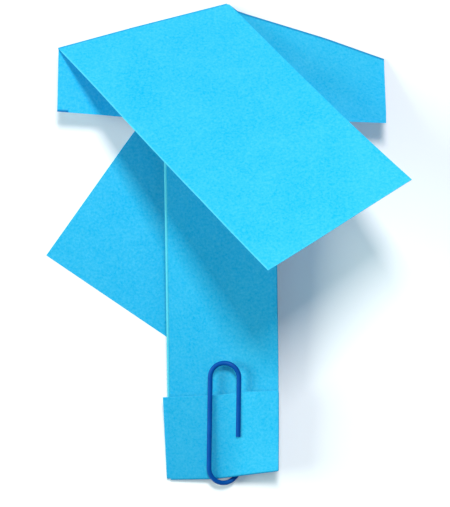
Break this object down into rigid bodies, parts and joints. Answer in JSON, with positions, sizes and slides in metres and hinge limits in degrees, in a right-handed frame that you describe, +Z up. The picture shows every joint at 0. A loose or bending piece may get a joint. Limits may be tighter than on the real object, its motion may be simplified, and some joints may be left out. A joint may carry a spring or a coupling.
{
  "type": "paper helicopter",
  "caption": "Folded paper helicopter at rest on its back: one strip slit and folded into two blades and a stem, weighted by a wire clip on its hem.",
  "frame": {"origin": "bottom centre of the bounding box, on the surface that the helicopter lies on", "axes": "+Y along the stem from the hem to the blades, +Z up from the surface, +X to the right seen from above with the blades at the top"},
  "size_m": [0.082, 0.1128, 0.0506],
  "materials": {
    "blue_paper": "matt",
    "coated_wire": "gloss"
  },
  "bodies": {
    "root": {"folded_paper": "blue_paper", "paper_clip": "coated_wire"}
  },
  "joints": []
}
